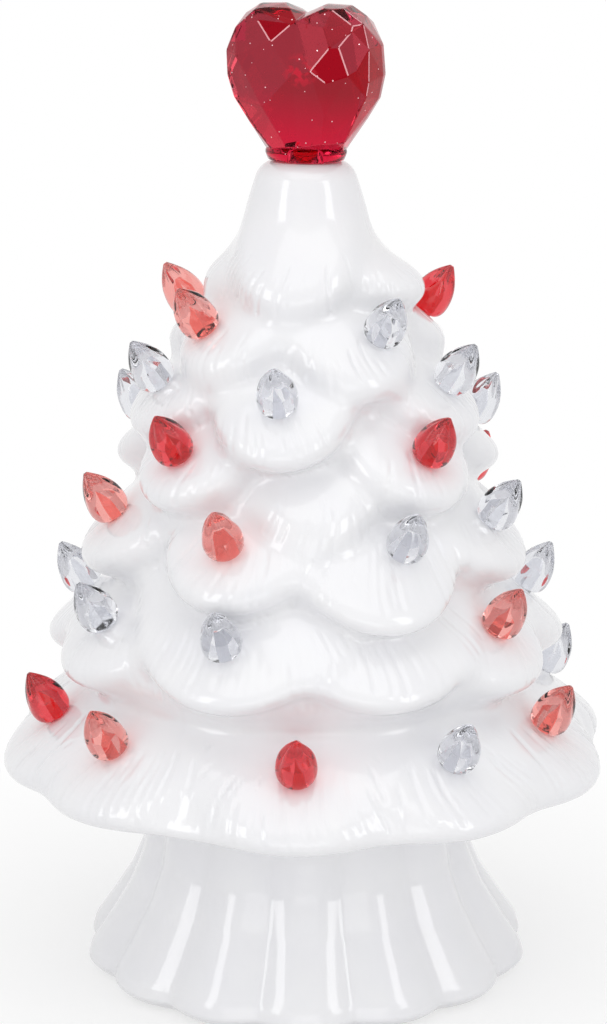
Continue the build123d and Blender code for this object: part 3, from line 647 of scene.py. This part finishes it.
def bevel_facets(mesh):
    """Joins the halves, flattens facets and bevels all edges; bevels of highlighted edges get material 1, a
    painted highlight.
    """
    shape = bmesh.new()
    shape.from_mesh(mesh)
    bmesh.ops.remove_doubles(shape, verts=shape.verts, dist=HEART_MERGE * MM)
    flat_angle = math.radians(HEART_FLAT_ANGLE)
    bmesh.ops.dissolve_limit(shape, angle_limit=flat_angle, verts=shape.verts, edges=shape.edges)
    bmesh.ops.recalc_face_normals(shape, faces=shape.faces)
    bright = [{a, b} for chain in HEART_HIGHLIGHT_CHAINS for a, b in zip(chain[:-1], chain[1:])]
    lines = []
    for edge in shape.edges:
        front = [vert.co / MM for vert in edge.verts if vert.co.y < 0]
        if {(round(corner.x, 1), round(corner.z, 1)) for corner in front} in bright:
            lines.append((edge.verts[0].co + edge.verts[1].co) / 2)
    bevels = bmesh.ops.bevel(shape, geom=shape.edges[:], offset=HEART_BEVEL * MM, segments=1,
                             affect="EDGES", clamp_overlap=True)
    for face in bevels["faces"]:
        middle = face.calc_center_median()
        if min((middle - line).length for line in lines) < HIGHLIGHT_REACH * MM:
            face.material_index = 1
    shape.to_mesh(mesh)
    shape.free()


def join_foot(body):
    """Mesh of the heart united with a rolled foot and a stem, less the stem's bore."""
    wide, deep = HEART_FOOT
    rolled = wide - FOOT_ROLL + FOOT_ROLL * np.cos(FOOT_ROLL_ANGLES)
    rim = HEART_FOOT_HEIGHT - FOOT_ROLL + FOOT_ROLL * np.sin(FOOT_ROLL_ANGLES)
    foot_radii = [*rolled, *(wide - inset for inset, level in FOOT_UNDERCUT)]
    foot_heights = [*rim, *(level for inset, level in FOOT_UNDERCUT)]
    stem_radii = [STEM_RADIUS, STEM_RADIUS, STEM_RADIUS - STEM_CHAMFER]
    stem_heights = [STEM_TOP, STEM_CHAMFER - STEM_LENGTH, -STEM_LENGTH]
    point_radius, point_length = BORE_POINT
    bore_radii = [point_radius, STEM_BORE_RADIUS, STEM_BORE_RADIUS]
    bore_heights = [STEM_BORE_TOP, STEM_BORE_TOP - point_length, -STEM_LENGTH - BORE_OVERSHOOT]
    helpers = []
    for name, operation, rings in (
        ("heart_foot", "UNION", turned(foot_radii, foot_heights, STEM_COLUMNS, (1.0, deep / wide))),
        ("heart_stem", "UNION", turned(stem_radii, stem_heights, STEM_COLUMNS)),
        ("heart_bore", "DIFFERENCE", turned(bore_radii, bore_heights, STEM_BORE_COLUMNS)),
    ):
        helper = put_mesh(name, *capped_rings(rings))
        join = body.modifiers.new(name, "BOOLEAN")
        join.object, join.operation, join.solver = helper, operation, "EXACT"
        helpers.append(helper)
    whole = bpy.data.meshes.new_from_object(body.evaluated_get(bpy.context.evaluated_depsgraph_get()))
    body.modifiers.clear()
    for helper in helpers:
        bpy.data.objects.remove(helper)
    return whole


def paint_facet_reflections(mesh):
    """Paints each front facet with the rose reflection share of the nearest place in the table, and the
    rest with one share.
    """
    centres = np.empty(len(mesh.polygons) * 3)
    mesh.polygons.foreach_get("center", centres)
    centres = centres.reshape(-1, 3) / MM
    gaps = np.hypot(*(centres[:, None, ::2] - HEART_PAINTED_REFLECTIONS[None, :, :2]).transpose(2, 0, 1))
    reflection_share = np.where(centres[:, 1] < HEART_FRONT, HEART_PAINTED_REFLECTIONS[gaps.argmin(1), 2], HEART_BACK_PAINTED_REFLECTION)
    mesh.attributes.new("facet_painted_reflection", "FLOAT", "FACE").data.foreach_set("value", reflection_share)


def make_heart(name, *materials):
    """Two faceted hulls joined and bevelled, with a foot and a bored stem, turned to stand on the neck."""
    corners = hull_half(1, HEART_RIGHT) + hull_half(-1, HEART_LEFT)
    points = np.array([corner for face in corners for corner in face])
    counts = np.cumsum([0] + [len(face) for face in corners])
    faces = [list(range(a, b)) for a, b in zip(counts[:-1], counts[1:])]
    body = put_mesh(name, points, faces, smooth=False)
    for material in materials:
        body.data.materials.append(material)
    bevel_facets(body.data)
    whole = join_foot(body)
    paint_facet_reflections(whole)
    yaw = math.radians(HEART_YAW)
    turn = np.array([[math.cos(yaw), -math.sin(yaw), 0], [math.sin(yaw), math.cos(yaw), 0], [0, 0, 1]])
    flat = np.empty(len(whole.vertices) * 3)
    whole.vertices.foreach_get("co", flat)
    placed = flat.reshape(-1, 3) * [HEART_WIDEN, 1, 1] @ turn.T + [0, 0, NECK_TOP * MM]
    whole.vertices.foreach_set("co", placed.ravel())
    whole.update()
    body.data = whole
    return body


def place(piece, body, slot, material, *nodes):
    """Gives a piece its material if it has none, lets it ride on a body and stand for CAD nodes; the slot
    argument is not used.
    """
    if not piece.data.materials:
        piece.data.materials.append(material)
    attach(piece, body)
    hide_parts(*nodes)


# Materials
def linear(hex_colour):
    """Linear RGBA of an sRGB hex colour."""
    value = np.array([int(hex_colour[i:i + 2], 16) for i in (1, 3, 5)]) / 255
    value = np.where(value <= 0.04045, value / 12.92, ((value + 0.055) / 1.055) ** 2.4)
    return (*value.tolist(), 1.0)


def add(tree, kind, settings=None, links=None):
    """Adds a node: settings fill its inputs by name or else its properties, links feed its inputs."""
    node = tree.nodes.new(kind)
    for key, value in (settings or {}).items():
        if isinstance(key, int) or key in node.inputs:
            node.inputs[key].default_value = value
        else:
            setattr(node, key, value)
    for key, socket in (links or {}).items():
        tree.links.new(socket, node.inputs[key])
    return node


def new_material(name):
    """A material and its node tree, empty."""
    material = bpy.data.materials.new(name)
    material.use_nodes = True
    tree = material.node_tree
    tree.nodes.clear()
    return material, tree


def glazed_earthenware():
    """Dipped white glaze on slip-cast earthenware: deep gloss, slightly warmer pools, faint orange peel."""
    material, tree = new_material("glazed_earthenware")
    where = add(tree, "ShaderNodeTexCoord").outputs["Object"]
    pooled = add(tree, "ShaderNodeTexNoise", {"Scale": 1 / (GLAZE_POOL * MM), "Detail": 2.0},
                 {"Vector": where})
    peel = add(tree, "ShaderNodeTexNoise", {"Scale": 1 / (GLAZE_PEEL * MM), "Detail": 1.0},
               {"Vector": where})
    colour = add(tree, "ShaderNodeMix",
                 {"data_type": "RGBA", "A": linear("#efeff3"), "B": linear("#f6f6f7")},
                 {"Factor": pooled.outputs["Fac"]})
    bump = add(tree, "ShaderNodeBump", {"Strength": 0.06, "Distance": GLAZE_PEEL_DEPTH * MM},
               {"Height": peel.outputs["Fac"]})
    gloss = add(tree, "ShaderNodeMapRange", {"To Min": 0.07, "To Max": 0.13},
                {"Value": pooled.outputs["Fac"]})
    shader = add(tree, "ShaderNodeBsdfPrincipled",
                 {"IOR": 1.52, "Coat Weight": 0.3, "Coat Roughness": 0.03},
                 {"Base Color": colour.outputs["Result"], "Roughness": gloss.outputs["Result"],
                  "Normal": bump.outputs["Normal"]})
    add(tree, "ShaderNodeOutputMaterial", links={"Surface": shader.outputs["BSDF"]})
    return material


def light_through(tree, surface, tint):
    """Ends a clear material: lamps shine through it in its tint and colour the glaze beside it."""
    through = add(tree, "ShaderNodeBsdfTransparent", {"Color": linear(tint)})
    path = add(tree, "ShaderNodeLightPath")
    mix = add(tree, "ShaderNodeMixShader",
              links={0: path.outputs["Is Shadow Ray"], 1: surface.outputs[0], 2: through.outputs[0]})
    add(tree, "ShaderNodeOutputMaterial", links={"Surface": mix.outputs[0]})


def tinted_acrylic(name, colour, roughness=0.03, clear=1.0):
    """Moulded acrylic, IOR 1.49, which tints what is seen through it at each crossing."""
    material, tree = new_material(name)
    body = add(tree, "ShaderNodeBsdfPrincipled",
               {"Base Color": linear(colour), "Roughness": roughness, "IOR": 1.49,
                "Transmission Weight": clear})
    light_through(tree, body, colour)
    return material


def glitter_acrylic():
    """Clear red cast acrylic: deep red facets, some under a painted rose reflection, a painted glow near
    the neck and painted glints in its middle.

    The foil flecks are drawn about 0.3 mm wide, which is as fine as still shows.
    """
    material, tree = new_material("glitter_acrylic")
    where = add(tree, "ShaderNodeTexCoord").outputs["Object"]
    cells = add(tree, "ShaderNodeTexVoronoi", {"Scale": 1 / (FLECK_PITCH * MM)}, {"Vector": where})
    near = add(tree, "ShaderNodeMath", {"operation": "LESS_THAN", 1: FLECK_RADIUS},
               {0: cells.outputs["Distance"]})
    chance = add(tree, "ShaderNodeSeparateColor", links={"Color": cells.outputs["Color"]})
    some = add(tree, "ShaderNodeMath", {"operation": "GREATER_THAN", 1: FLECK_CHANCE},
               {0: chance.outputs["Red"]})
    fleck = add(tree, "ShaderNodeMath", {"operation": "MULTIPLY"}, {0: near.outputs[0], 1: some.outputs[0]})
    # The facet attribute paints a rose reflection over the deep red of some facets.
    reflection_share = add(tree, "ShaderNodeAttribute", {"attribute_name": "facet_painted_reflection"})
    facet = add(tree, "ShaderNodeMix",
                {"data_type": "RGBA", "A": linear("#920005"), "B": linear("#97404d")},
                {"Factor": reflection_share.outputs["Fac"]})
    height = add(tree, "ShaderNodeSeparateXYZ", links={"Vector": where})
    # Painted glow: brighter red towards the neck.
    glow_start, glow_full = HEART_PAINTED_GLOW
    glow = add(tree, "ShaderNodeMapRange", {"From Min": glow_start * MM, "From Max": glow_full * MM},
               {"Value": height.outputs["Z"]})
    colour = add(tree, "ShaderNodeMix", {"data_type": "RGBA", "B": linear("#d4183a")},
                 {"Factor": glow.outputs["Result"], "A": facet.outputs["Result"]})
    # Painted glints: spots of bright red round one place in the middle.
    away = add(tree, "ShaderNodeVectorMath",
               {"operation": "DISTANCE", 1: [value * MM for value in HEART_PAINTED_GLINT]}, {0: where})
    close = add(tree, "ShaderNodeMapRange", {"From Min": GLINT_EDGE * MM, "From Max": GLINT_CORE * MM},
                {"Value": away.outputs["Value"]})
    grains = add(tree, "ShaderNodeTexNoise", {"Scale": 1 / (GLINT_GRAIN * MM), "Detail": 1.0},
                 {"Vector": where})
    spots = add(tree, "ShaderNodeMapRange", {"From Min": GLINT_SPOTS[0], "From Max": GLINT_SPOTS[1]},
                {"Value": grains.outputs["Fac"]})
    glint = add(tree, "ShaderNodeMath", {"operation": "MULTIPLY"},
                {0: close.outputs["Result"], 1: spots.outputs["Result"]})
    lit = add(tree, "ShaderNodeMix", {"data_type": "RGBA", "B": linear("#ff2c48")},
              {"Factor": glint.outputs[0], "A": colour.outputs["Result"]})
    body = add(tree, "ShaderNodeBsdfPrincipled",
               {"Roughness": 0.03, "IOR": 1.49, "Transmission Weight": 1.0,
                "Specular Tint": linear("#ff5060")},
               {"Base Color": lit.outputs["Result"]})
    foil = add(tree, "ShaderNodeBsdfPrincipled",
               {"Base Color": linear("#f3c9cd"), "Roughness": 0.3, "Metallic": 1.0})
    surface = add(tree, "ShaderNodeMixShader",
                  links={0: fleck.outputs[0], 1: body.outputs[0], 2: foil.outputs[0]})
    light_through(tree, surface, "#b8243c")
    return material


def plain(name, colours, roughness, grain, settings):
    """A matt or metal surface whose colour and gloss wander a little over grains of a size in mm."""
    material, tree = new_material(name)
    where = add(tree, "ShaderNodeTexCoord").outputs["Object"]
    noise = add(tree, "ShaderNodeTexNoise", {"Scale": 1 / (grain * MM), "Detail": 3.0}, {"Vector": where})
    colour = add(tree, "ShaderNodeMix",
                 {"data_type": "RGBA", "A": linear(colours[0]), "B": linear(colours[1])},
                 {"Factor": noise.outputs["Fac"]})
    gloss = add(tree, "ShaderNodeMapRange",
                {"To Min": roughness - PLAIN_WANDER, "To Max": roughness + PLAIN_WANDER},
                {"Value": noise.outputs["Fac"]})
    bump = add(tree, "ShaderNodeBump", {"Strength": 0.1, "Distance": PLAIN_GRAIN_DEPTH * MM},
               {"Height": noise.outputs["Fac"]})
    shader = add(tree, "ShaderNodeBsdfPrincipled", settings,
                 {"Base Color": colour.outputs["Result"], "Roughness": gloss.outputs["Result"],
                  "Normal": bump.outputs["Normal"]})
    add(tree, "ShaderNodeOutputMaterial", links={"Surface": shader.outputs["BSDF"]})
    return material


GLAZE = glazed_earthenware()
BULB_MATERIALS = {
    "bulb_red": tinted_acrylic("red_acrylic", "#e4424a"),
    "bulb_coral": tinted_acrylic("coral_acrylic", "#f3a39c"),
    "bulb_clear": tinted_acrylic("clear_acrylic", "#e8e9ed"),
}
INNER_MATERIALS = {  # two close colours, roughness, grain in mm and the shader's own settings
    # Moulded ABS: satin off-white with a fine mould grain
    "housing_white": plain("moulded_abs", ("#dededa", "#e6e6e2"), 0.46, 0.8, {"IOR": 1.54}),
    # Solder mask: a thin green lacquer, half gloss
    "board_green": plain("solder_mask", ("#17482c", "#1f5a37"), 0.34, 1.5, {"IOR": 1.55}),
    # Zinc plate on steel: bright grey metal, slightly clouded
    "steel": plain("zinc_plate", ("#a9acb0", "#c3c5c8"), 0.32, 0.6, {"Metallic": 1.0}),
    # Moulded nylon: near black with a dull sheen
    "switch_black": plain("moulded_nylon", ("#141416", "#1d1d20"), 0.5, 0.5, {"IOR": 1.53}),
    # Printed jacket on steel: smooth dark grey lacquer
    "cell_jacket": plain("printed_jacket", ("#3a3f45", "#454a50"), 0.3, 3.0, {"IOR": 1.5}),
    # Nickel plate on spring steel: warm grey metal, well polished
    "contact_nickel": plain("nickel_plate", ("#c9c4b8", "#d6d1c6"), 0.26, 0.7, {"Metallic": 1.0}),
    # Cast epoxy lens: warm white and partly clear
    "lamp_lens": plain("epoxy_lens", ("#fff0cf", "#fff4dc"), 0.14, 2.0,
                       {"IOR": 1.55, "Transmission Weight": 0.6}),
}
SLOTS = {part["node"]: part["material_slot"] for part in frame["record"]["subparts"]}

for piece in make_shell(SHELL_COLUMNS, SPLIT_ROW):
    place(piece, "tree", "white_glaze", GLAZE, "tree_shell")
place(make_base("base_glazed", BASE_COLUMNS), "base", "white_glaze", GLAZE, "base_pedestal")
for node, (seat, axis, along) in bulb_seats().items():
    bulb = make_bulb(node + "_moulded", seat, axis, along, rng.uniform(0, FULL_TURN))
    place(bulb, "tree", SLOTS[node], BULB_MATERIALS[SLOTS[node]], node)
# The pale pink, mostly opaque edge material is a painted highlight on the bright bevels.
CAST, EDGES = glitter_acrylic(), tinted_acrylic("painted_highlight_edges", "#f3b4ba", 0.35, 0.3)
place(make_heart("heart_cast", CAST, EDGES), "topper", "heart_red", CAST, "heart_topper")
for node, slot in SLOTS.items():
    if slot in INNER_MATERIALS:
        frame["nodes"][node].data.materials.clear()
        frame["nodes"][node].data.materials.append(INNER_MATERIALS[slot])

# Camera, light and floor
pitch = math.atan2(CAMERA_HEIGHT - AIM_HEIGHT, CAMERA_BACK)
camera = bpy.data.objects.new("camera", bpy.data.cameras.new("camera"))
bpy.context.scene.collection.objects.link(camera)
camera.location = (CAMERA_SIDE * MM, -CAMERA_BACK * MM, CAMERA_HEIGHT * MM)
camera.rotation_euler = (math.pi / 2 - pitch, 0, 0)
focal_pixels = math.hypot(CAMERA_BACK, CAMERA_HEIGHT - AIM_HEIGHT) / MM_PER_PIXEL
camera.data.sensor_width = SENSOR
camera.data.lens = SENSOR * focal_pixels / IMAGE_HEIGHT
camera.data.shift_y = -(IMAGE_HEIGHT / 2 - IMAGE_MIDDLE) / IMAGE_HEIGHT
bpy.context.scene.camera = camera
bpy.context.scene.view_settings.view_transform = "Standard"


def softbox(name, place_at, aim_at, size, power):
    """A rectangular lamp facing a point."""
    lamp = bpy.data.lights.new(name, "AREA")
    lamp.shape = "RECTANGLE"
    lamp.size, lamp.size_y = size
    lamp.energy = power
    holder = bpy.data.objects.new(name, lamp)
    bpy.context.scene.collection.objects.link(holder)
    holder.location = place_at
    holder.rotation_euler = (Vector(aim_at) - Vector(place_at)).to_track_quat("-Z", "Y").to_euler()


for lamp in LAMPS:
    softbox(*lamp)

floor_signs = ((-1, -1), (1, -1), (1, 1), (-1, 1))
floor_corners = [(x * FLOOR_HALF, y * FLOOR_HALF, FLOOR_LEVEL) for x, y in floor_signs]
floor = put_mesh("floor", floor_corners, [(0, 1, 2, 3)])


def seen_rays(tree):
    """1 for rays that show the backdrop, from the camera, through clear pieces or off gloss, and else 0."""
    path = add(tree, "ShaderNodeLightPath")
    direct = add(tree, "ShaderNodeMath", {"operation": "MAXIMUM"},
                 {0: path.outputs["Is Camera Ray"], 1: path.outputs["Is Transmission Ray"]})
    seen = add(tree, "ShaderNodeMath", {"operation": "MAXIMUM"},
               {0: direct.outputs[0], 1: path.outputs["Is Glossy Ray"]})
    return seen.outputs[0]


def studio_floor():
    """Matt white paper, plain white away from the object, with its shadow near it, and clear from below."""
    material, tree = new_material("white_paper")
    where = add(tree, "ShaderNodeTexCoord").outputs["Object"]
    far = add(tree, "ShaderNodeVectorMath", {"operation": "LENGTH"}, {0: where})
    fade = add(tree, "ShaderNodeMapRange",
               {"From Min": FLOOR_FADE[0] * MM, "From Max": FLOOR_FADE[1] * MM,
                "To Min": FLOOR_WHITE[0], "To Max": FLOOR_WHITE[1]},
               {"Value": far.outputs["Value"]})
    share = add(tree, "ShaderNodeMath", {"operation": "MULTIPLY"},
                {0: seen_rays(tree), 1: fade.outputs["Result"]})
    paper = add(tree, "ShaderNodeBsdfDiffuse", {"Color": linear("#f4f4f4")})
    white = add(tree, "ShaderNodeEmission", {"Color": linear("#ffffff"), "Strength": 1.0})
    mix = add(tree, "ShaderNodeMixShader",
              links={0: share.outputs[0], 1: paper.outputs[0], 2: white.outputs[0]})
    side = add(tree, "ShaderNodeNewGeometry")
    clear = add(tree, "ShaderNodeBsdfTransparent")
    sheet = add(tree, "ShaderNodeMixShader",
                links={0: side.outputs["Backfacing"], 1: mix.outputs[0], 2: clear.outputs[0]})
    add(tree, "ShaderNodeOutputMaterial", links={"Surface": sheet.outputs[0]})
    return material


floor.data.materials.append(studio_floor())


def studio_world(fill):
    """White all round to the eye and in reflections, and a softer fill for the light on the object."""
    world = bpy.data.worlds.new("studio")
    bpy.context.scene.world = world
    world.use_nodes = True
    tree = world.node_tree
    tree.nodes.clear()
    strength = add(tree, "ShaderNodeMapRange", {"To Min": fill, "To Max": 1.0}, {"Value": seen_rays(tree)})
    sky = add(tree, "ShaderNodeBackground", {"Color": linear("#ffffff")},
              {"Strength": strength.outputs["Result"]})
    add(tree, "ShaderNodeOutputWorld", links={"Surface": sky.outputs[0]})


studio_world(WORLD_FILL)
